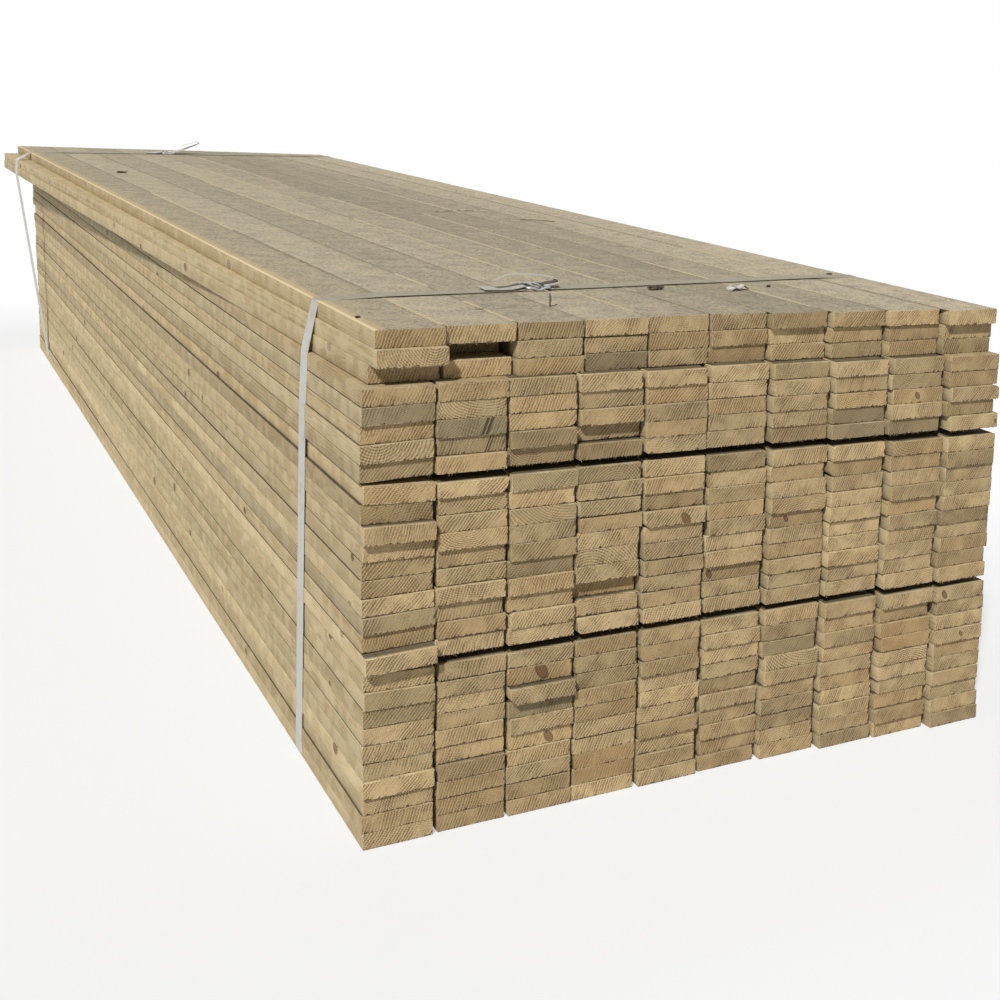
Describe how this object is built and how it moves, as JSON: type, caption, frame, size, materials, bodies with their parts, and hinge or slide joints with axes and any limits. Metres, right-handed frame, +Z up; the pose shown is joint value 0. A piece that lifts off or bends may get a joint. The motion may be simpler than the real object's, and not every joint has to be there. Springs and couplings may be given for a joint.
{
  "type": "strapped bundle of rough-sawn softwood boards",
  "caption": "Long strapped bundle of rough-sawn softwood boards, stacked in level layers with thin laths between three blocks and two bands with wire buckles.",
  "frame": {"origin": "on the floor, under the middle of the bundle's bounding box", "axes": "+X across the bundle to the right as seen from the front ends, +Y along the boards to the back ends, +Z up"},
  "size_m": [1.125, 4.0548, 0.7553],
  "materials": {
    "wood": "rough-sawn",
    "lath": "rough-sawn",
    "strap": "satin woven polyester",
    "wire": "galvanised"
  },
  "bodies": {
    "root": {"layer_01": "wood", "layer_02": "wood", "layer_03": "wood", "layer_04": "wood", "layer_05": "wood", "layer_06": "wood", "layer_07": "wood", "layer_08": "wood", "layer_09": "wood", "layer_10": "wood", "layer_11": "wood", "layer_12": "wood", "layer_13": "wood", "layer_14": "wood", "layer_15": "wood", "layer_16": "wood", "layer_17": "wood", "layer_18": "wood", "layer_19": "wood", "layer_20": "wood", "layer_21": "wood", "layer_22": "wood", "layer_23": "wood", "layer_24": "wood", "layer_25": "wood", "layer_26": "wood", "layer_27": "wood", "layer_28": "wood", "stickers_upper": "lath", "stickers_lower": "lath", "strap_near": "strap", "strap_far": "strap", "buckle_near": "wire", "buckle_far": "wire"}
  },
  "joints": []
}
